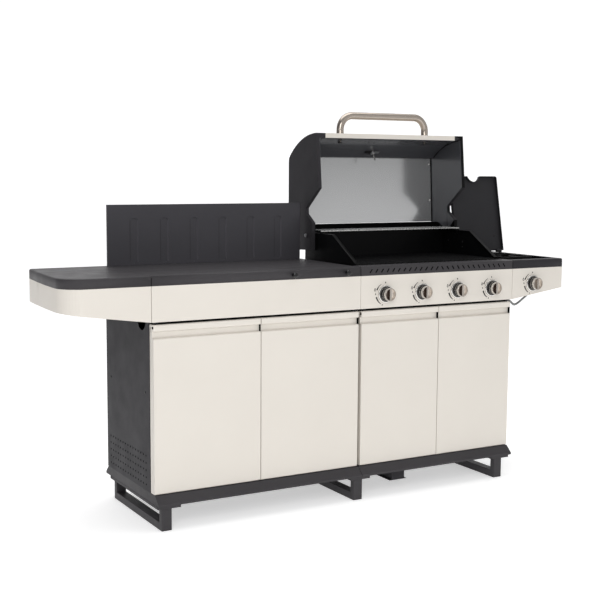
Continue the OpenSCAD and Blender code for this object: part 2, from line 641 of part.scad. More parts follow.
bend_r = 60;
module hood_handle() placed() color(steel) {
    r = handle_d / 2;
    rod_x(handle_y, handle_z, r, [handle_x[0] + bend_r, handle_x[1] - bend_r]);
    for (k = [0, 1]) {
        rod_z(handle_x[k], handle_y, r, [1466, handle_z - bend_r]);
        translate([handle_x[k] + (k == 0 ? bend_r : -bend_r), handle_y, handle_z - bend_r])
            rotate([90, 0, 0]) rotate([0, 0, k == 0 ? 90 : 0]) rotate_extrude(angle = 90)
                translate([bend_r, 0]) circle(r = r);
        difference() {
            rod_z(handle_x[k], handle_y, 19, [1452, 1467]);
            rod_x(hood_c[0], hood_c[1], hood_r + 0.1, [handle_x[k] - 30, handle_x[k] + 30], $fn = 96);
        }
        // bolt and washer inside the hood
        rod_z(handle_x[k], handle_y, 4, [1430, 1470]);
        rod_z(handle_x[k], handle_y, 9, [1430, 1435.8]);
    }
}

// Thermometer on the front curve, local z pointing out of the hood
module at_gauge() translate([grill_w / 2, hood_c[0] + hood_r * cos(gauge_angle),
    hood_c[1] + hood_r * sin(gauge_angle)]) rotate([gauge_angle - 90, 0, 0]) children();
module thermometer_case() placed() color(steel) at_gauge() {
    rotate_extrude() polygon([[0, 0], [12, 0], [14, 1], [30, 1], [34, 4], [34, 13], [31, 16], [29, 16],
        [29, 9], [0, 9]]);
    rod_z(0, 0, 3, [-70, 2]);
    rod_z(0, 0, 9, [-28, -21.8]);
    rod_z(0, 0, 1, [8.5, 10.4]);
}
module thermometer_needle() placed() color(black) at_gauge() rotate(135) {
    difference() {
        rod_z(0, 0, 3.5, [9.4, 11.4]);
        rod_z(0, 0, 1 + run, [9, 10.7]);
    }
    translate([3, -0.9, 9.9]) cube([20, 1.8, 1]);
}

module hood_pivot_bolts() placed() color(steel) {
    pivot_bolt();
    mirrored_grill() pivot_bolt();
}
module pivot_bolt() {
    rod_x(hinge_y, hinge_z, stem_r, [0, box_x[0]]);
    rod_x(hinge_y, hinge_z, 8, [-2, hood_x[0] - 0.6]);
    rod_x(hinge_y, hinge_z, 6.5, [hood_x[0] + cap_w + 0.4, box_x[0]]);
}

// ---- drip tray and fixings ----

tray_y = [box_y[0] + 10, box_y[1] - 8];
module drip_tray() placed() color(steel) {
    difference() {
        box([26, grill_w - 26], tray_y, [774, 796]);
        box([27.5, grill_w - 27.5], [tray_y[0] + sheet, tray_y[1] - sheet], [775.5, 797]);
    }
    box([grill_w / 2 - 60, grill_w / 2 + 60], [tray_y[1], tray_y[1] + 18], [786, 788]);
}
module tray_rails() placed() color(dark) for (x = [[gap + sheet, 44], [grill_out - 44, grill_out - sheet]]) {
    box(x, [carcass_y + 4, depth - 2 * sheet], [771.5, 773.5]);
    wall = x[0] < burner_mid ? [x[0], x[0] + 2] : [x[1] - 2, x[1]];
    box(wall, [carcass_y + 4, depth - 2 * sheet], [771.5, 798]);
}
module panel_screws() placed() color(black) for (y = [88, 446], z = [500]) {
    rod_x(y, z, 5, [left_out - 2, left_out]);
    rod_x(y, z, 5, [grill_out, grill_out + 2]);
}

sled_feet();
plinths();
underfloor_bracket();
left_outer_side();
grill_outer_side();
inner_sides();
cabinet_backs();
cabinet_floors();
cabinet_shelf();
left_fascia();
control_panel();
left_shelf_fascia();
right_shelf_fascia();
shelf_brackets();
left_worktop();
left_shelf_top();
right_shelf_top();
front_rail();
splash_panel();
worktop_pegs();
firebox();
burner_tubes();
flame_tamers();
cooking_grates();
warming_rack();
gas_manifold();
gas_valves();
gas_hose();
side_burner_well();
side_burner_head();
side_burner_trivet();
lid_hinge_brackets();
hood_pivot_bolts();
door_hardware();
knob_bezels();
tray_rails();
panel_screws();
drip_tray();
door_1();
door_2();
door_3();
door_4();
hood_skin();
hood_end_caps();
hood_inner_shell();
hood_liner();
hood_handle();
thermometer_case();
thermometer_needle();
side_burner_lid();
knob_1();
knob_2();
knob_3();
knob_4();
knob_5();
stem_collar_1();
stem_collar_2();
stem_collar_3();
stem_collar_4();
stem_collar_5();
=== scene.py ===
"""Looks of the outdoor-kitchen gas grill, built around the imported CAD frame."""

import math

import bmesh
import bpy
from mathutils import Matrix, Vector


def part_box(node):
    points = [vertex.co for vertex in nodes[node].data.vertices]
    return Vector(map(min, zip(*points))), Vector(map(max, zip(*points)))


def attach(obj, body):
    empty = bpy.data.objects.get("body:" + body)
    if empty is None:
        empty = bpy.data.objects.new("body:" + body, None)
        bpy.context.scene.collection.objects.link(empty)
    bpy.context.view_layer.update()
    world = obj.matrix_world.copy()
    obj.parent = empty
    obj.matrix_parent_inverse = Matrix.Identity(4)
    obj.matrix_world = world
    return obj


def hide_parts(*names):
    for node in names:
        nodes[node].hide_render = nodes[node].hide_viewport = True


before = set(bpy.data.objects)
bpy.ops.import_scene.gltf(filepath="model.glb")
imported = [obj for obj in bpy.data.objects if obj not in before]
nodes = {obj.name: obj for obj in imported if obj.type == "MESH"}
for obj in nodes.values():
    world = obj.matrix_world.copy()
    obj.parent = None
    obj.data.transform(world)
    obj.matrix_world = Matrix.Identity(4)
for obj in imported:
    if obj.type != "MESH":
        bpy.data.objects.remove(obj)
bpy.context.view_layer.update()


MM = 0.001
# part.scad is drawn with x = 0 at the seam between the cabinets and y = 0 at the control panel
SHIFT = Vector((76.5, -280.0, 0.0))


def at(x, y, z):
    """A point of part.scad's drawing, in mm, as a place in the object's frame, in metres."""
    return (Vector((x, y, z)) + SHIFT) * MM


def add_object(name, data):
    """A new object in the scene."""
    made = bpy.data.objects.new(name, data)
    bpy.context.scene.collection.objects.link(made)
    return made


# ---- camera ----

CAMERA_RIGHT = Vector((0.869036, -0.494709, 0.006319))
CAMERA_UP = Vector((0.051307, 0.102818, 0.993376))
CAMERA_PLACE = at(-2416.6, -3752.6, 1318.7)
CAMERA_LENS = 67.986

camera_data = bpy.data.cameras.new("camera")
camera_data.lens = CAMERA_LENS
camera_data.sensor_width = 36.0
camera_data.clip_end = 100.0
camera = add_object("camera", camera_data)
view = Matrix((CAMERA_RIGHT, CAMERA_UP, CAMERA_RIGHT.cross(CAMERA_UP))).transposed().to_4x4()
view.translation = CAMERA_PLACE
camera.matrix_world = view
bpy.context.scene.camera = camera
bpy.context.scene.view_settings.view_transform = "Standard"


# ---- materials ----


class Paint:
    """A Principled material under construction."""

    def __init__(self, name):
        self.material = bpy.data.materials.new(name)
        self.material.use_nodes = True
        self.tree = self.material.node_tree
        self.shader = self.tree.nodes["Principled BSDF"]
        self.place = self.node("ShaderNodeTexCoord").outputs["Object"]

    def node(self, kind, **settings):
        made = self.tree.nodes.new(kind)
        for name, value in settings.items():
            setattr(made, name, value)
        return made

    def join(self, output, socket):
        self.tree.links.new(output, socket)

    def set(self, **values):
        for name, value in values.items():
            self.shader.inputs[name.replace("_", " ")].default_value = value

    def along(self, axis):
        """The place along X, Y or Z."""
        split = self.node("ShaderNodeSeparateXYZ")
        self.join(self.place, split.inputs["Vector"])
        return split.outputs[axis]

    def noise(self, scale, detail=3.0, rough=0.55, stretch=(1.0, 1.0, 1.0)):
        mapping = self.node("ShaderNodeMapping")
        mapping.inputs["Scale"].default_value = stretch
        self.join(self.place, mapping.inputs["Vector"])
        noise = self.node("ShaderNodeTexNoise")
        noise.inputs["Scale"].default_value = scale
        noise.inputs["Detail"].default_value = detail
        noise.inputs["Roughness"].default_value = rough
        self.join(mapping.outputs["Vector"], noise.inputs["Vector"])
        return noise.outputs["Fac"]

    def ramp(self, value, stops):
        """stops is a list of (value, colour)."""
        ramp = self.node("ShaderNodeValToRGB")
        steps = ramp.color_ramp.elements
        while len(steps) < len(stops):
            steps.new(0.5)
        for step, (where, colour) in zip(steps, stops):
            step.position = where
            step.color = colour if len(colour) == 4 else (*colour, 1.0)
        self.join(value, ramp.inputs["Fac"])
        return ramp.outputs["Color"]

    def range(self, value, low, high, source=(0.3, 0.7)):
        """The value, spread from source to low and high and held there."""
        mapped = self.node("ShaderNodeMapRange")
        mapped.inputs["From Min"].default_value = source[0]
        mapped.inputs["From Max"].default_value = source[1]
        mapped.inputs["To Min"].default_value = low
        mapped.inputs["To Max"].default_value = high
        self.join(value, mapped.inputs["Value"])
        return mapped.outputs["Result"]

    def sum(self, operation, a, b=0.0):
        """A Math node on two outputs or numbers."""
        sum_node = self.node("ShaderNodeMath", operation=operation)
        for socket, value in zip(sum_node.inputs, (a, b)):
            self.feed(value, socket)
        return sum_node.outputs[0]

    def feed(self, value, socket):
        """Gives a socket an output or a plain value."""
        if isinstance(value, bpy.types.NodeSocket):
            self.join(value, socket)
        else:
            socket.default_value = value

    def mix(self, factor, a, b, blend="MIX"):
        mix = self.node("ShaderNodeMix", data_type="RGBA", blend_type=blend)
        for socket, value in ((mix.inputs[0], factor), (mix.inputs[6], a), (mix.inputs[7], b)):
            self.feed(value, socket)
        return mix.outputs[2]

    def bump(self, layers):
        """layers is a list of (height output, strength, distance in metres)."""
        normal = None
        for height, strength, distance in layers:
            bump = self.node("ShaderNodeBump")
            bump.inputs["Strength"].default_value = strength
            bump.inputs["Distance"].default_value = distance
            self.join(height, bump.inputs["Height"])
            if normal is not None:
                self.join(normal, bump.inputs["Normal"])
            normal = bump.outputs["Normal"]
        self.join(normal, self.shader.inputs["Normal"])


# Noise scales of the powder paint, per metre: clouding, specks, patches of gloss and slow waves
CLOUDS, SPECKS, PATCHES, WAVES = 3.1, 1900.0, 14.0, 2.2


def powder_coat(name, colour, shade, rough, grain, relief, specks=None, gloss=0.45, uneven=0.05, more=None):
    """Baked powder paint: orange peel, faint clouding and uneven gloss. more(paint) may draw on it."""
    p = Paint(name)
    tone = p.ramp(p.noise(CLOUDS, 4.0, 0.6), [(0.30, shade), (0.70, colour)])
    if specks:
        fine = p.noise(SPECKS, 2.0, 0.6)
        tone = p.mix(p.range(fine, 0.0, 0.35, (0.50, 0.72)), tone, (*specks, 1.0))
    p.join(tone, p.shader.inputs["Base Color"])
    p.join(p.range(p.noise(PATCHES, 4.0), rough - uneven, rough + uneven), p.shader.inputs["Roughness"])
    p.bump([(p.noise(grain, 3.0, 0.6), 0.35, relief), (p.noise(WAVES, 1.0), 0.05, 0.002)])
    p.set(Specular_IOR_Level=gloss)
    if more:
        more(p)
    return p.material


# The pressed flutes of the splash panel, with painted shade and a painted highlight along their edges
FLUTE_LEFT = at(-787, 0, 0).x
FLUTE_PITCH = 129.4 * MM
FLUTE_WIDTH = 34 * MM
FLUTE_LOW = 946 * MM
FLUTE_HIGH = 1117 * MM
FLUTE_LEAD = 20 * MM  # plain paint before each flute's left edge
# plain paint, painted shade and painted highlight, as levels that the coat is multiplied by
PLAIN, FLUTE_PAINTED_SHADE, FLUTE_PAINTED_HIGHLIGHT = [(level, level, level) for level in (0.6, 0.26, 1.0)]


def paint_flute_shade_and_highlight(paint):
    """Painted shade down each flute's left edge and a painted highlight down its right."""
    across = paint.sum("SUBTRACT", paint.along("X"), FLUTE_LEFT - FLUTE_LEAD)
    across = paint.sum("FRACT", paint.sum("DIVIDE", across, FLUTE_PITCH))
    left = FLUTE_LEAD / FLUTE_PITCH
    right = left + FLUTE_WIDTH / FLUTE_PITCH
    lines = paint.ramp(across, [(0.0, PLAIN), (left - 0.012, PLAIN), (left + 0.004, FLUTE_PAINTED_SHADE),
                                (left + 0.03, PLAIN), (right - 0.03, PLAIN), (right - 0.012, FLUTE_PAINTED_HIGHLIGHT),
                                (right + 0.004, FLUTE_PAINTED_HIGHLIGHT), (right + 0.012, PLAIN)])
    up = paint.along("Z")
    above = paint.range(up, 0.0, 1.0, (FLUTE_LOW, FLUTE_LOW + 10 * MM))
    below = paint.range(up, 1.0, 0.0, (FLUTE_HIGH - 6 * MM, FLUTE_HIGH))
    lines = paint.mix(paint.sum("MULTIPLY", above, below), (*PLAIN, 1.0), lines)
    coat = paint.shader.inputs["Base Color"].links[0].from_socket
    paint.join(paint.mix(1.0, coat, lines, "MULTIPLY"), paint.shader.inputs["Base Color"])


def brushed(name, colour, shade, rough, along="x", streaks=1.0, uneven=0.06, metal=1.0, painted_fade=None):
    """Rolled and brushed steel with its grain along one axis.
    The last argument, if given, is (low, high, dim): painted shade, the colour falling to dim of itself from
    low up to high in metres."""
    p = Paint(name)
    grain = p.noise(900.0, 4.0, 0.7, [0.02 if axis == along else 1.0 for axis in "xyz"])
    clouds = p.noise(6.0, 3.0, 0.5)
    tone = p.mix(p.range(grain, 0.0, 1.0), (*shade, 1.0), (*colour, 1.0))
    tone = p.mix(p.range(clouds, 0.0, 0.25), tone, (*shade, 1.0))
    if painted_fade:
        low, high, dim = painted_fade
        height = p.range(p.along("Z"), 0.0, 1.0, (low, high))
        tone = p.mix(1.0, tone, p.ramp(height, [(0.0, (1, 1, 1)), (1.0, (dim, dim, dim))]), "MULTIPLY")
    p.join(tone, p.shader.inputs["Base Color"])
    p.join(p.range(grain, rough - uneven, rough + uneven), p.shader.inputs["Roughness"])
    p.bump([(grain, 0.25 * streaks, 0.00008)])
    p.set(Metallic=metal)
    return p.material


def plain_metal(name, colour, shade, rough, scale=60.0):
    """Drawn, plated or cast metal with faint spots."""
    p = Paint(name)
    spots = p.noise(scale, 4.0, 0.6)
    p.join(p.ramp(spots, [(0.35, shade), (0.65, colour)]), p.shader.inputs["Base Color"])
    p.join(p.range(p.noise(scale * 3, 3.0), rough - 0.06, rough + 0.08), p.shader.inputs["Roughness"])
    p.bump([(p.noise(scale * 12, 2.0), 0.2, 0.00006)])
    p.set(Metallic=1.0)
    return p.material


def clear_glass(name):
    """Clear glass with a faintly uneven surface."""
    p = Paint(name)
    p.join(p.range(p.noise(40.0, 2.0), 0.02, 0.05), p.shader.inputs["Roughness"])
    p.set(Transmission_Weight=1.0, IOR=1.45)
    return p.material


cream_coat = powder_coat("cream_powder_coat", (0.752, 0.710, 0.648), (0.732, 0.690, 0.629), 0.42, 1300.0,
                         0.00005, None, 0.35)
dark_coat = powder_coat("dark_powder_coat", (0.032, 0.0305, 0.034), (0.027, 0.0255, 0.029), 0.50, 1500.0,
                        0.00010, (0.056, 0.054, 0.058), 0.12)
# the splash coat carries the flutes' painted shade and painted highlight
splash_coat = powder_coat("splash_powder_coat", (0.098, 0.0945, 0.108), (0.086, 0.083, 0.095), 0.46, 1500.0,
                          0.00010, (0.150, 0.147, 0.157), 0.22, 0.05, paint_flute_shade_and_highlight)
lid_coat = powder_coat("lid_powder_coat", (0.024, 0.0235, 0.0265), (0.020, 0.0195, 0.022), 0.55, 1500.0,
                       0.00008, (0.040, 0.039, 0.042), 0.20)
top_coat = powder_coat("worktop_powder_coat", (0.052, 0.049, 0.0525), (0.044, 0.0415, 0.0445), 0.46, 1200.0,
                       0.00012, (0.086, 0.082, 0.088), 0.14)
enamel = powder_coat("black_enamel", (0.004, 0.004, 0.0045), (0.003, 0.003, 0.0032), 0.40, 700.0, 0.00008,
                     None, 0.10)
soot = powder_coat("matt_black", (0.003, 0.003, 0.003), (0.002, 0.002, 0.002), 0.85, 700.0, 0.00004,
                   None, 0.03)
inner_enamel = powder_coat("hood_inner_enamel", (0.068, 0.069, 0.076), (0.062, 0.063, 0.070), 0.24, 600.0,
                           0.00002, None, 0.50, 0.01)
iron = powder_coat("cast_iron", (0.008, 0.008, 0.0085), (0.006, 0.006, 0.0065), 0.50, 420.0, 0.00025,
                   None, 0.15)
steel_x = brushed("brushed_steel_x", (0.46, 0.405, 0.355), (0.40, 0.35, 0.305), 0.22, "x")
knob_steel = brushed("knob_steel", (0.54, 0.49, 0.445), (0.44, 0.40, 0.36), 0.26, "z")
# darker and paler copies of the knob steel, a painted reflection in the knobs' hollows: shade to the left,
# highlight to the right
pocket_painted_shade_steel = brushed("knob_pocket_steel", (0.26, 0.21, 0.18), (0.14, 0.115, 0.10), 0.22, "z")
pale_painted_highlight_steel = brushed("knob_pale_steel", (0.80, 0.74, 0.68), (0.67, 0.62, 0.57), 0.40, "z")
bright_steel = brushed("bright_steel", (0.78, 0.76, 0.73), (0.66, 0.64, 0.61), 0.20, "z", 0.5)
# the liner's steel darkens towards its top: painted shade that stands in for its reflections
liner_steel = brushed("liner_steel", (0.57, 0.575, 0.58), (0.54, 0.545, 0.55), 0.17, "x", 0.2, 0.02, 0.74,
                      (1.08, 1.38, 0.66))
wire = plain_metal("chromed_wire", (0.60, 0.60, 0.59), (0.50, 0.50, 0.49), 0.26)
hose_steel = plain_metal("hose_steel", (0.30, 0.31, 0.31), (0.22, 0.225, 0.23), 0.30)
zinc = plain_metal("zinc_plate", (0.55, 0.56, 0.57), (0.44, 0.45, 0.47), 0.38, 30.0)
brass = plain_metal("brass", (0.72, 0.52, 0.22), (0.60, 0.42, 0.17), 0.32, 40.0)
gloss_black = powder_coat("gloss_black", (0.006, 0.006, 0.007), (0.004, 0.004, 0.005), 0.14, 500.0, 0.00001)
screw_black = plain_metal("black_screw", (0.05, 0.05, 0.05), (0.03, 0.03, 0.03), 0.40, 90.0)
ink = powder_coat("printed_ink", (0.030, 0.028, 0.027), (0.022, 0.021, 0.020), 0.55, 900.0, 0.00001,
                  None, 0.3)
dial_white = powder_coat("dial_white", (0.80, 0.79, 0.76), (0.76, 0.75, 0.72), 0.40, 900.0, 0.00001)
glass = clear_glass("gauge_glass")

DOORS = ["door_%d" % i for i in range(1, 5)]
KNOBS = ["knob_%d" % i for i in range(1, 6)]
COLLARS = ["stem_collar_%d" % i for i in range(1, 6)]
# the right shelf top takes the dark coat rather than the worktops' coat: painted shade, as less light
# reaches it
FINISHES = {
    dark_coat: ["underfloor_bracket", "left_outer_side", "grill_outer_side", "inner_sides",
                "cabinet_backs", "cabinet_floors", "cabinet_shelf", "shelf_brackets", "hood_end_caps",
                "tray_rails", "lid_hinge_brackets", "door_hardware", "right_shelf_top"],
    splash_coat: ["splash_panel"],
    lid_coat: ["side_burner_lid"],
    top_coat: ["left_worktop", "left_shelf_top", "front_rail", "plinths", "sled_feet"],
    cream_coat: ["left_fascia", "control_panel", "left_shelf_fascia", "right_shelf_fascia", *DOORS,
                 "hood_skin"],
    enamel: ["firebox", "side_burner_well"],
    inner_enamel: ["hood_inner_shell"],
    iron: ["cooking_grates", "side_burner_head", "side_burner_trivet"],
    steel_x: ["hood_handle", "burner_tubes", "flame_tamers"],
    bright_steel: ["thermometer_case", "knob_bezels"],
    knob_steel: KNOBS,
    liner_steel: ["hood_liner"],
    wire: ["warming_rack", "gas_hose"],
    zinc: ["gas_manifold", "hood_pivot_bolts", "drip_tray", *COLLARS],
    brass: ["gas_valves"],
    gloss_black: ["worktop_pegs"],
    screw_black: ["panel_screws", "thermometer_needle"],
}

# How wide the nodes' edges are rounded, in mm, where it isn't EDGE_WIDTH
EDGE_WIDTH = 0.6
EDGE_WIDTHS = {"left_worktop": 3.0, "left_shelf_top": 3.0, "right_shelf_top": 2.4, "sled_feet": 2.0,
               **{door: 1.6 for door in DOORS}, "splash_panel": 1.4, "cooking_grates": 1.4,
               "front_rail": 1.2}

for finish, names in FINISHES.items():
    for name in names:
        part = nodes[name]
        part.data.materials.clear()
        part.data.materials.append(finish)
        weld = part.modifiers.new("weld", "WELD")
        weld.merge_threshold = 0.01 * MM
        bevel = part.modifiers.new("edges", "BEVEL")
        bevel.width = EDGE_WIDTHS.get(name, EDGE_WIDTH) * MM
        bevel.segments = 2
        bevel.limit_method = "ANGLE"
        bevel.angle_limit = math.radians(35.0)
        bevel.use_clamp_overlap = True


def paint_faces(name, finish, chosen):
    """Gives another finish to the faces of a CAD node for which chosen(middle, normal) is true."""
    mesh = nodes[name].data
    mesh.materials.append(finish)
    index = len(mesh.materials) - 1
    for face in mesh.polygons:
        if chosen(face.center, face.normal):
            face.material_index = index


def middle(name):
    """The middle of a node's box."""
    low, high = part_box(name)
    return (Vector(low) + Vector(high)) / 2


# the handle's bolts are black inside the hood
bolt_top = at(0, 0, 1437).z
paint_faces("hood_handle", screw_black, lambda c, n: c.z < bolt_top)

# the baffle below the liner and the right end cap's front edge are matt black
baffle_top = at(0, 0, 1079.5).z
paint_faces("hood_inner_shell", soot, lambda c, n: c.z < baffle_top)
cap_edge = at(740, 0, 0).x
paint_faces("hood_end_caps", enamel, lambda c, n: c.x > cap_edge and n.y < -0.9)

# each knob's skirt is black, its two thin rings are bright, and the hollows beside its grip are
# darker to the left than to the right, a painted reflection: painted shade left, painted highlight right
KNOB_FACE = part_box("knob_1")[0][1]


def knob_part(name, kind):
    """Which faces of a knob are its dark skirt, its bright rings, or one side of its hollows."""
    centre = middle(name)

    def chosen(c, n):
        reach = math.hypot(c.x - centre.x, c.z - centre.z) / MM
        deep = (c.y - KNOB_FACE) / MM
        hollow = 2.0 < deep < 11.5 and reach < 23.2
        if kind == "bright":
            return abs(n.y) < 0.7 and reach > 25.0 and (1.0 < deep < 9.5 or 14.5 < deep < 17.5)
        if kind == "left":
            return hollow and c.x < centre.x
        if kind == "right":
            return hollow and c.x > centre.x
        return not hollow and deep > 9.5 and reach < 29.5

    return chosen


for name in KNOBS:
    paint_faces(name, gloss_black, knob_part(name, "dark"))
    paint_faces(name, bright_steel, knob_part(name, "bright"))
    paint_faces(name, pocket_painted_shade_steel if name != "knob_5" else knob_steel, knob_part(name, "left"))
    paint_faces(name, pale_painted_highlight_steel, knob_part(name, "right"))


# ---- pieces ----


def mesh_data(name, mesh):
    """A finished bmesh as mesh data."""
    data = bpy.data.meshes.new(name)
    mesh.to_mesh(data)
    mesh.free()
    return data


def show(name, mesh, finish, body):
    """Makes a piece from a bmesh and hangs it on a body."""
    bmesh.ops.recalc_face_normals(mesh, faces=mesh.faces)
    data = mesh_data(name, mesh)
    data.materials.append(finish)
    piece = add_object(name, data)
    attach(piece, body)
    return piece


def axes(out):
    """A turning matrix whose third axis is out."""
    out = Vector(out).normalized()
    side = Vector((0, 0, 1)).cross(out)
    side.normalize()
    return Matrix((side, out.cross(side), out)).transposed()


def circle(count):
    """The corners of a regular polygon of radius 1."""
    return [(math.cos(2 * math.pi * k / count), math.sin(2 * math.pi * k / count)) for k in range(count)]


def heading(path, i):
    """The direction of a line of points at its point i."""
    return (path[min(i + 1, len(path) - 1)] - path[max(i - 1, 0)]).normalized()


def join_rings(mesh, rings):
    """Smooth faces between rings of corners."""
    for a, b in zip(rings, rings[1:]):
        for i in range(len(a)):
            j = (i + 1) % len(a)
            mesh.faces.new((a[i], a[j], b[j], b[i])).smooth = True


def tube(mesh, rings):
    """A closed tube through rings of corners."""
    join_rings(mesh, rings)
    mesh.faces.new(rings[0][::-1])
    mesh.faces.new(rings[-1])


def turn(mesh, place, out, profile, sides=24, smooth=True, hexed=()):
    """Adds a closed turned shape: profile holds (radius, height) in mm, ends at radius 0.
    Rings whose index is in hexed are six-sided."""
    frame3 = axes(out)
    rings = []
    for k, (radius, height) in enumerate(profile):
        if radius == 0:
            rings.append([mesh.verts.new(place + frame3 @ Vector((0, 0, height * MM)))])
            continue
        ring = []
        for i in range(sides):
            a = 2 * math.pi * i / sides
            r = radius
            if k in hexed:
                r = radius / math.cos((a + math.pi / 6) % (math.pi / 3) - math.pi / 6)
            corner = Vector((r * math.cos(a), r * math.sin(a), height))
            ring.append(mesh.verts.new(place + frame3 @ corner * MM))
        rings.append(ring)
    for a, b in zip(rings, rings[1:]):
        for i in range(sides):
            j = (i + 1) % sides
            four = [a[i % len(a)], a[j % len(a)], b[j % len(b)], b[i % len(b)]]
            unique = list(dict.fromkeys(four))
            if len(unique) > 2:
                mesh.faces.new(unique).smooth = smooth


# Heads: radius and height, in parts of the head's radius, above a foot sunk into the sheet in mm
SCREW_SHAPE = [(1.0, 0.25), (0.86, 0.45), (0.62, 0.52), (0.5, 0.52), (0.46, 0.2), (0, 0.16)]
SCREW_FOOT = -0.4
RIVET_SHAPE = [(0.96, 0.2), (0.7, 0.48), (0, 0.6)]
RIVET_FOOT = -0.3


def head(mesh, place, out, radius, foot, shape, sides, smooth, hexed=()):
    """A screw's or a rivet's head of one of these shapes."""
    profile = [(0, foot), (radius, foot)] + [(r * radius, h * radius) for r, h in shape]
    turn(mesh, place, out, profile, sides, smooth, hexed)


def screw_head(mesh, place, out, radius):
    """A low round head with a hexagon socket."""
    head(mesh, place, out, radius, SCREW_FOOT, SCREW_SHAPE, 24, False, (5, 6))


def rivet(mesh, place, out, radius):
    """A low domed head."""
    head(mesh, place, out, radius, RIVET_FOOT, RIVET_SHAPE, 16, True)


def plate(mesh, place, frame3, outline, low, high):
    """A closed flat piece: outline in mm in frame3's first two axes, from low to high along its third."""
    rings = []
    for h in (low, high):
        rings.append([mesh.verts.new(place + frame3 @ Vector((x, y, h)) * MM) for x, y in outline])
    mesh.faces.new(rings[0][::-1])
    mesh.faces.new(rings[1])
    for i in range(len(outline)):
        j = (i + 1) % len(outline)
        mesh.faces.new((rings[0][i], rings[0][j], rings[1][j], rings[1][i]))


side_frame = Matrix(((0, 0, 1), (1, 0, 0), (0, 1, 0)))  # outlines in y and z, thickness along x


def slab(mesh, x, y, z):
    """A plain box, from its ranges in part.scad's drawing."""
    plate(mesh, at(0, 0, 0), side_frame, [(y[0], z[0]), (y[1], z[0]), (y[1], z[1]), (y[0], z[1])], *x)


def ribbon(points, widths):
    """The outline of a line of changing width through points."""
    path = [Vector(p) for p in points]
    left, right = [], []
    for i, p in enumerate(path):
        way = heading(path, i)
        side = Vector((-way.y, way.x)) * widths[i] / 2
        left.append(tuple(p + side))
        right.append(tuple(p - side))
    return left + right[::-1]


# ---- worktops with softly rounded top edges ----

SLAB_ROUND = 7 * MM
SLAB_SHEET = 1.2 * MM
ROUND_STEPS = 6


def top_loops(name):
    """The closed outlines of a node's flat top, the longest first."""
    mesh = nodes[name].data
    top = max(v.co.z for v in mesh.vertices)
    key = {v.index: (round(v.co.x, 5), round(v.co.y, 5)) for v in mesh.vertices}
    uses = {}
    for face in mesh.polygons:
        if all(abs(mesh.vertices[i].co.z - top) < 1e-5 for i in face.vertices):
            ids = [key[i] for i in face.vertices]
            for a, b in zip(ids, ids[1:] + ids[:1]):
                uses.setdefault(frozenset((a, b)), []).append((a, b))
    after = {way[0][0]: way[0][1] for way in uses.values() if len(way) == 1}
    loops = []
    while after:
        start, point = next(iter(after.items()))
        loop = [start]
        del after[start]
        while point != start:
            loop.append(point)
            point = after.pop(point)
        loops.append([Vector(p) for p in loop])
    return sorted(loops, key=lambda p: -sum((a - b).length for a, b in zip(p, p[1:] + p[:1])))


def pulled_in(loop, seams, amount):
    """The outline moved inwards, except along its seams with the next worktop."""
    moved = []
    for i, p in enumerate(loop):
        sides = []
        for a, b in ((loop[i - 1], p), (p, loop[(i + 1) % len(loop)])):
            way = (b - a).normalized()
            fixed = any(abs(a.x - x) < 1e-4 and abs(b.x - x) < 1e-4 for x in seams)
            sides.append((Vector((-way.y, way.x)), 0.0 if fixed else amount))
        (m, d), (n, e) = sides
        cross = m.x * n.y - m.y * n.x
        if abs(cross) < 1e-3:
            moved.append(p + m * d)
        else:
            moved.append(p + Vector((d * n.y - e * m.y, m.x * e - n.x * d)) / cross)
    return moved


def soft_worktop(name, seams):
    """A pressed worktop like its CAD node, with its top edge rounded except at seams."""
    loops = top_loops(name)
    outer = loops[0]
    if sum(a.x * b.y - b.x * a.y for a, b in zip(outer, outer[1:] + outer[:1])) < 0:
        outer.reverse()
    low, high = [corner[2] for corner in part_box(name)]
    mesh = bmesh.new()
    levels = [(0.0, low), (0.0, high - SLAB_ROUND)]
    for k in range(1, ROUND_STEPS + 1):
        angle = math.pi / 2 * k / ROUND_STEPS
        levels.append((SLAB_ROUND * (1 - math.cos(angle)), high - SLAB_ROUND + SLAB_ROUND * math.sin(angle)))
    rings = [[mesh.verts.new((p.x, p.y, z)) for p in pulled_in(outer, seams, inset)] for inset, z in levels]
    join_rings(mesh, rings)
    edges = [mesh.edges.get((rings[-1][i - 1], rings[-1][i])) for i in range(len(outer))]
    for hole in loops[1:]:
        ring = [mesh.verts.new((p.x, p.y, high)) for p in hole]
        edges += [mesh.edges.new((ring[i - 1], ring[i])) for i in range(len(ring))]
    bmesh.ops.triangle_fill(mesh, edges=edges, use_beauty=True)
    mesh.normal_update()
    for face in mesh.faces:
        if face.calc_center_median().z > high - 1e-6 and face.normal.z < 0:
            face.normal_flip()
    data = mesh_data(name + "_soft", mesh)
    data.materials.append(nodes[name].data.materials[0])
    piece = add_object(name + "_soft", data)
    sheet = piece.modifiers.new("sheet", "SOLIDIFY")
    sheet.thickness = SLAB_SHEET
    sheet.offset = -1.0
    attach(piece, "base")
    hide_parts(name)


def ends(name):
    """The least and the greatest x of a node."""
    low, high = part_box(name)
    return low[0], high[0]


soft_worktop("left_worktop", ends("left_worktop"))
soft_worktop("left_shelf_top", ends("left_shelf_top")[1:])
soft_worktop("right_shelf_top", ends("right_shelf_top")[:1])


# ---- the marks printed round each knob ----

INK_HIGH = 0.12
INK_SUNK = 0.05
MARK_RADIUS = 45.0
panel_frame = Matrix(((1, 0, 0), (0, 0, -1), (0, 1, 0)))  # outlines in x and z, thickness to the front


def arc(start, end, radius, count=10):
    """Points on a ring from one angle to another, in degrees."""
    angles = [math.radians(start + (end - start) * i / count) for i in range(count + 1)]
    return [(radius * math.cos(a), radius * math.sin(a)) for a in angles]


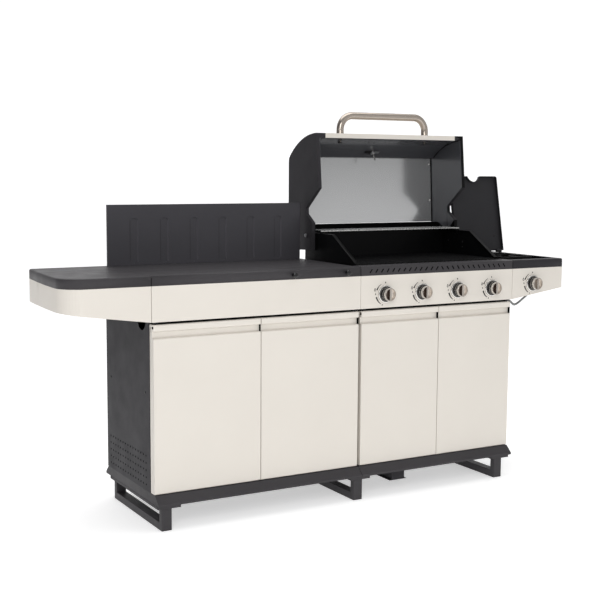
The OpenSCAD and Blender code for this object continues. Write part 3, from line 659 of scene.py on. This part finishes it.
def drop(size, angle, radius):
    """A closed flame-like drop standing at an angle on a ring."""
    cx, cy = arc(angle, angle, radius, 1)[0]
    shape = [(0.0, 1.0), (0.22, 0.55), (0.46, 0.1), (0.5, -0.3), (0.3, -0.72), (0.0, -0.85),
             (-0.3, -0.72), (-0.5, -0.3), (-0.4, 0.1), (-0.15, 0.4)]
    return [(cx + x * size, cy + y * size) for x, y in shape]


def mark_knob(mesh, centre):
    """Prints an arc that swells, one that thins, a dot at the end of each, and two drops."""
    tenths = [i / 10 for i in range(11)]
    hollow_drop = drop(6.6, 160, MARK_RADIUS + 9.5)
    hollow_drop.append(hollow_drop[0])
    for outline in (ribbon(arc(118, 158, MARK_RADIUS), [2.0 + 5.4 * t * t for t in tenths]),
                    ribbon(arc(194, 240, MARK_RADIUS), [7.2 - 4.6 * t for t in tenths]),
                    ribbon(arc(88.5, 94, MARK_RADIUS + 1, 4), [5.6] * 5),
                    ribbon(arc(248, 252.5, MARK_RADIUS + 1, 4), [5.0] * 5),
                    ribbon(hollow_drop, [2.3] * len(hollow_drop)),
                    drop(4.6, 178, MARK_RADIUS + 3.0)):
        plate(mesh, centre, panel_frame, outline, -INK_SUNK, INK_HIGH)


marks = bmesh.new()
for name in KNOBS:
    centre = middle(name)
    centre.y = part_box("control_panel")[0][1]
    mark_knob(marks, centre)
show("knob_marks", marks, ink, "base")

# ---- screws in the firebox's outer walls and along the cabinets' backs ----

CASE_SCREW = 4.2
FIREBOX_WALLS = [(749.8, -1), (21.2, 1)]  # each wall's inner face and the way that its screws face
FIREBOX_SCREWS = [(326, 997), (326, 974), (150, 900), (430, 900), (430, 1000)]
CABINET_BACK = 488.9
BACK_SCREWS = [((-862, -600, -320, -33), (160, 860)), ((30, 270, 510, 740), (160, 740))]

case_screws = bmesh.new()
for y, z in FIREBOX_SCREWS:
    for x, way in FIREBOX_WALLS:
        screw_head(case_screws, at(x, y, z), (way, 0, 0), CASE_SCREW)
for columns, rows in BACK_SCREWS:
    for x in columns:
        for z in rows:
            screw_head(case_screws, at(x, CABINET_BACK, z), (0, 1, 0), CASE_SCREW)
show("case_screws", case_screws, screw_black, "base")

# ---- doors: black end plates in the pulls as painted shade, and a screw at the first and third doors' corners ----

DOOR_RIGHT = {"door_1": -445, "door_2": -7, "door_3": 384, "door_4": 764}
DOOR_LEFT = {"door_1": -880, "door_3": 7}
PULL = [(3.0, 709.3), (14.8, 709.3), (14.8, 734.7), (6.0, 734.7), (3.0, 736.0)]
for name, x in DOOR_RIGHT.items():
    shade_plate = bmesh.new()
    plate(shade_plate, at(0, 0, 0), side_frame, PULL, x - 1.6, x - 0.2)
    if name in DOOR_LEFT:
        screw_head(shade_plate, at(DOOR_LEFT[name], 7.2, 748.5), (-1, 0, 0), 4.8)
    show(name + "_pull_shade_plate", shade_plate, soot, name + "_leaf")

# ---- black sheets in the cabinets' gaps, painted shade that keeps light from showing through them ----

PLINTH_SEAM = [(-27, 95), (488, 95), (488, 129), (3, 129), (-27, 102)]
shade_sheets = bmesh.new()
for x in ((-878, -8.5), (8.5, 762)):  # along the gaps above the doors
    slab(shade_sheets, x, (11, 34), (760.8, 768.6))
slab(shade_sheets, (20, 751), (1.6, 2.6), (902, 933))  # behind the louvres
for x in ((-877.8, -877.2), (761.2, 761.8)):  # inside the vent holes
    slab(shade_sheets, x, (48, 465), (142, 330))
plate(shade_sheets, at(0, 0, 0), side_frame, PLINTH_SEAM, -1.3, 1.3)  # between the two plinths
for x in ((-878.9, -876), (-4.7, -1.9), (1.9, 4.7), (760, 762.9)):  # along the floors' side edges
    slab(shade_sheets, x, (47, 486), (132.1, 137))
show("door_seals", shade_sheets, soot, "base")

# thin dark joints between neighbouring worktops, at their front edges
joints = bmesh.new()
for x in (-887, 0, 771):
    slab(joints, (x - 1.0, x + 1.0), (-0.15, 0.6), (900.6, 929))
show("worktop_joints", joints, soot, "base")

# ---- hood and side lid ----

LINER_FOOT = (560, 1080)  # where the liner starts, in y and z
LINER_SLOPE = 19.5 / 295.0
# the liner's rivets are white: a painted highlight on steel rivets
rivets = bmesh.new()
for x in (30, 741):
    for z in (1179, 1345):
        rivet(rivets, at(x, LINER_FOOT[0] + (z - LINER_FOOT[1]) * LINER_SLOPE, z), (0, -1, LINER_SLOPE), 3.6)
show("liner_rivets_painted_highlight", rivets, dial_white, "hood")

LID_OPEN = math.radians(101)
LID_HINGE = (404, 946)  # in y and z
lid_up = Vector((0, -math.cos(LID_OPEN), math.sin(LID_OPEN)))
lid_face = Vector((0, -math.sin(LID_OPEN), -math.cos(LID_OPEN)))
lid_screws = bmesh.new()
for x in (815, 904, 1013):
    screw_head(lid_screws, at(x, *LID_HINGE) + (lid_up * 70 - lid_face * 7) * MM, lid_face, 3.6)
show("lid_screws", lid_screws, screw_black, "side_lid")

# ---- thermometer: dial, ticks, numbers and glass, with the nut and spring clips inside the hood ----

HOOD_Y, HOOD_Z, HOOD_RADIUS = 358, 1145, 325  # the hood's round front: its axis and its radius
GAUGE_X = 385.5
GAUGE_ANGLE = math.radians(57.5)
gauge_out = Vector((0, math.cos(GAUGE_ANGLE), math.sin(GAUGE_ANGLE)))
gauge_place = at(GAUGE_X, HOOD_Y, HOOD_Z) + gauge_out * HOOD_RADIUS * MM
gauge_up = Vector((0, -math.sin(GAUGE_ANGLE), math.cos(GAUGE_ANGLE)))
gauge_frame = Matrix((gauge_up.cross(gauge_out), gauge_up, gauge_out)).transposed()

SCALE_START, SCALE_SWEEP = 225.0, 270.0  # degrees, running clockwise
TICKS, LONG_EVERY = 36, 6
TICK_RADIUS, NUMBER_RADIUS = 26.5, 17.0
NUMBERS = ("50", "150", "250", "350")
DIAL = [(1.8, 9.02), (28.6, 9.02), (28.6, 9.25), (1.8, 9.25)]
NUT = [(3.2, 29.6), (9.5, 29.6), (9.5, 35.4), (8.4, 36.2), (3.2, 36.2)]


def on_scale(part):
    """A place round the dial, from 0 at the scale's start to 1 at its end."""
    a = math.radians(SCALE_START - SCALE_SWEEP * part)
    return Vector((math.cos(a), math.sin(a)))


def turned_ring(mesh, place, out, profile, sides, hexed=()):
    """A turned shape with a hole, whose profile closes on itself."""
    turn(mesh, place, out, profile + profile[:1], sides, False, hexed)
    bmesh.ops.remove_doubles(mesh, verts=mesh.verts, dist=1e-7)


dial = bmesh.new()
turned_ring(dial, gauge_place, gauge_out, DIAL, 64)
show("gauge_dial", dial, dial_white, "hood")

ticks = bmesh.new()
for i in range(TICKS + 1):
    way = on_scale(i / TICKS)
    length, width = (2.6, 0.5) if i % LONG_EVERY else (5.0, 0.9)
    line = ribbon([tuple(way * (TICK_RADIUS - length)), tuple(way * TICK_RADIUS)], [width] * 2)
    plate(ticks, gauge_place, gauge_frame, line, 9.26, 9.34)
show("gauge_ticks", ticks, ink, "hood")

cover = bmesh.new()
turn(cover, gauge_place, gauge_out, [(0, 13.6), (28.8, 13.2), (28.8, 14.2), (18, 14.9), (0, 15.3)], 48)
show("gauge_glass_cover", cover, glass, "hood")

for i, number in enumerate(NUMBERS):
    name = "gauge_number_%d" % (i + 1)
    label = bpy.data.curves.new(name, "FONT")
    label.body = number
    label.size = 5.2 * MM
    label.extrude = 0.04 * MM
    label.align_x, label.align_y = "CENTER", "CENTER"
    label.materials.append(ink)
    figure = add_object(name, label)
    spot = on_scale(i / (len(NUMBERS) - 1)) * NUMBER_RADIUS
    spot = gauge_frame @ Vector((spot.x, spot.y, 9.3))
    figure.matrix_world = Matrix.Translation(gauge_place + spot * MM) @ gauge_frame.to_4x4()
    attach(figure, "hood")

nut = bmesh.new()
turned_ring(nut, gauge_place, -gauge_out, NUT, 24, (1, 2, 3))
plate(nut, gauge_place, gauge_frame, [(-34, -6), (-6, -8), (-6, 8), (-34, 6)], -29.4, -28.2)
show("gauge_nut", nut, zinc, "hood")
clip = bmesh.new()
plate(clip, gauge_place, gauge_frame, [(8, -9), (36, -7), (39, -4), (39, 4), (36, 7), (8, 9)], -29.6, -28.4)
show("gauge_clip", clip, screw_black, "hood")

# ---- dark sealing beads where the hood's inner shell meets its end panels ----

SEAM_RADIUS = 303.5
SEAM_STEPS = 12
BEAD = 1.8
seam_path = [Vector((0, 559.5, 1082)), Vector((0, 578, 1374))]
for i in range(SEAM_STEPS + 1):
    a = math.radians(49.5 + 38.0 * i / SEAM_STEPS)
    seam_path.append(Vector((0, HOOD_Y + SEAM_RADIUS * math.cos(a), HOOD_Z + SEAM_RADIUS * math.sin(a))))
beads = bmesh.new()
for x in (21.5, 749.5):
    rings = []
    for i, point in enumerate(seam_path):
        way = heading(seam_path, i)
        over = Vector((0, -way.z, way.y))
        rings.append([beads.verts.new(at(x, point.y, point.z) + (Vector((u, 0, 0)) + over * v) * BEAD * MM)
                      for u, v in circle(8)])
    tube(beads, rings)
show("hood_seam_beads", beads, soot, "hood")

# ---- gas hose ----

HOSE_ROUTE = [(728, 34, 778), (728, 34, 770), (728, 44, 763), (732, 62, 758), (745, 86, 754),
              (764, 103, 755), (785, 92, 761), (803, 70, 760), (815, 60, 750), (826, 58, 740),
              (837, 59, 736.5), (849, 60, 739), (863, 59, 747), (876, 57, 757), (888, 52, 768),
              (895, 42, 782), (896, 34, 797), (896, 34, 806)]
HOSE_STEPS = 24  # curve points between two route points
HOSE_SIDES = 14
RING_GAP = 1.05
RINGS_PER_RIB = 4
CUFF_RINGS, CUFF_RADIUS = 9, 5.0  # the plain sleeve at each end
RIB_MIDDLE, RIB_DEPTH = 4.35, 0.65


def spline(points, per_span):
    """A smooth curve through the points, as part.scad draws it."""
    done = []
    for i in range(len(points) - 1):
        a, b = points[max(i - 1, 0)], points[i]
        c, d = points[i + 1], points[min(i + 2, len(points) - 1)]
        for k in range(per_span):
            u = k / per_span
            done.append((2 * b + (c - a) * u + (2 * a - 5 * b + 4 * c - d) * u * u
                         + (3 * b - a - 3 * c + d) * u ** 3) / 2)
    return done + [points[-1]]


def even(points, step):
    """The same line, with points a fixed step apart."""
    done, left = [points[0]], step
    for a, b in zip(points, points[1:]):
        length = (b - a).length
        along = left
        while along <= length:
            done.append(a.lerp(b, along / length))
            along += step
        left = along - length
    return done + [points[-1]]


hose = bmesh.new()
line = even(spline([at(*p) for p in HOSE_ROUTE], HOSE_STEPS), RING_GAP * MM)
side = Vector((1, 0, 0))
rings = []
for i, point in enumerate(line):
    way = heading(line, i)
    side = (side - way * side.dot(way)).normalized()
    up = way.cross(side)
    radius = CUFF_RADIUS
    if CUFF_RINGS <= i < len(line) - CUFF_RINGS:
        radius = RIB_MIDDLE + RIB_DEPTH * math.cos(2 * math.pi * i / RINGS_PER_RIB)
    rings.append([hose.verts.new(point + (side * u + up * v) * radius * MM) for u, v in circle(HOSE_SIDES)])
tube(hose, rings)
hose_piece = show("corrugated_gas_hose", hose, hose_steel, "base")
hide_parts("gas_hose")

# ---- stage and light ----

FLOOR_HALF = 5.5
FLOOR_BACK, FLOOR_FRONT = 7.0, -9.0
SWEEP_RADIUS, SWEEP_STEPS = 2.5, 16
BACKDROP_HIGH = 7.0


def paper(name, shade, glow):
    """White studio paper that glows a little."""
    p = Paint(name)
    p.join(p.ramp(p.noise(1.3, 2.0), [(0.3, [shade * 0.995] * 3), (0.7, [shade] * 3)]),
           p.shader.inputs["Base Color"])
    p.join(p.range(p.noise(3.0, 2.0), 0.78, 0.84), p.shader.inputs["Roughness"])
    p.set(Specular_IOR_Level=0.1, Emission_Color=(1.0, 1.0, 1.0, 1.0), Emission_Strength=glow)
    return p.material


def backdrop():
    """A pale floor curving up into a wall behind the object, square to the camera."""
    mesh = bmesh.new()
    away = Vector((0.492, 0.863, 0.0)).normalized()
    side = Vector((away.y, -away.x, 0.0))
    bend = FLOOR_BACK - SWEEP_RADIUS
    path = [(FLOOR_FRONT, 0.0), (bend, 0.0)]
    for i in range(1, SWEEP_STEPS + 1):
        a = math.pi / 2 * i / SWEEP_STEPS
        path.append((bend + SWEEP_RADIUS * math.sin(a), SWEEP_RADIUS - SWEEP_RADIUS * math.cos(a)))
    path.append((FLOOR_BACK, BACKDROP_HIGH))
    rows = [[mesh.verts.new(away * p + side * s + Vector((0, 0, z))) for s in (-FLOOR_HALF, FLOOR_HALF)]
            for p, z in path]
    for a, b in zip(rows, rows[1:]):
        mesh.faces.new((a[0], a[1], b[1], b[0])).smooth = True
    data = mesh_data("floor", mesh)
    data.materials.append(paper("floor_paper", 0.86, 0.50))
    return add_object("floor", data)


floor = backdrop()


def area_light(name, place, target, size, power):
    """A soft rectangular light of so many watts, from a place towards a target, in metres."""
    data = bpy.data.lights.new(name, "AREA")
    data.shape = "RECTANGLE"
    data.size, data.size_y = size
    data.energy = power
    light = add_object(name, data)
    light.location = place
    light.rotation_mode = "QUATERNION"
    light.rotation_quaternion = (Vector(target) - Vector(place)).to_track_quat("-Z", "Y")


area_light("key_light", (-2.3, -4.0, 2.8), (-0.3, 0.0, 0.6), (2.2, 2.2), 64.0)
area_light("fill_light", (3.2, -4.6, 2.4), (0.2, 0.0, 0.7), (2.6, 2.6), 6.0)
area_light("left_card", (-4.4, -1.2, 1.5), (-1.1, 0.0, 0.8), (2.0, 2.0), 8.0)
area_light("top_light", (0.2, 0.4, 4.6), (0.0, 0.0, 0.0), (4.5, 3.0), 80.0)


ROOM_STRENGTH = 0.58
DARK_SIDE = (-0.97, -0.14, -0.18)  # where the room is darkest


def studio_world():
    """A white room that darkens to one side, for the metal to reflect."""
    world = bpy.data.worlds.new("studio")
    world.use_nodes = True
    tree = world.node_tree
    direction = tree.nodes.new("ShaderNodeTexCoord").outputs["Generated"]
    towards = tree.nodes.new("ShaderNodeVectorMath")
    towards.operation = "DOT_PRODUCT"
    towards.inputs[1].default_value = DARK_SIDE
    tree.links.new(direction, towards.inputs[0])
    ramp = tree.nodes.new("ShaderNodeValToRGB")
    ramp.color_ramp.interpolation = "EASE"
    steps = ramp.color_ramp.elements
    steps[0].position, steps[0].color = 0.02, (1.0, 1.0, 1.0, 1.0)
    steps[1].position, steps[1].color = 0.80, (0.30, 0.30, 0.32, 1.0)
    tree.links.new(towards.outputs["Value"], ramp.inputs["Fac"])
    tree.links.new(ramp.outputs["Color"], tree.nodes["Background"].inputs["Color"])
    tree.nodes["Background"].inputs["Strength"].default_value = ROOM_STRENGTH
    return world


bpy.context.scene.world = studio_world()
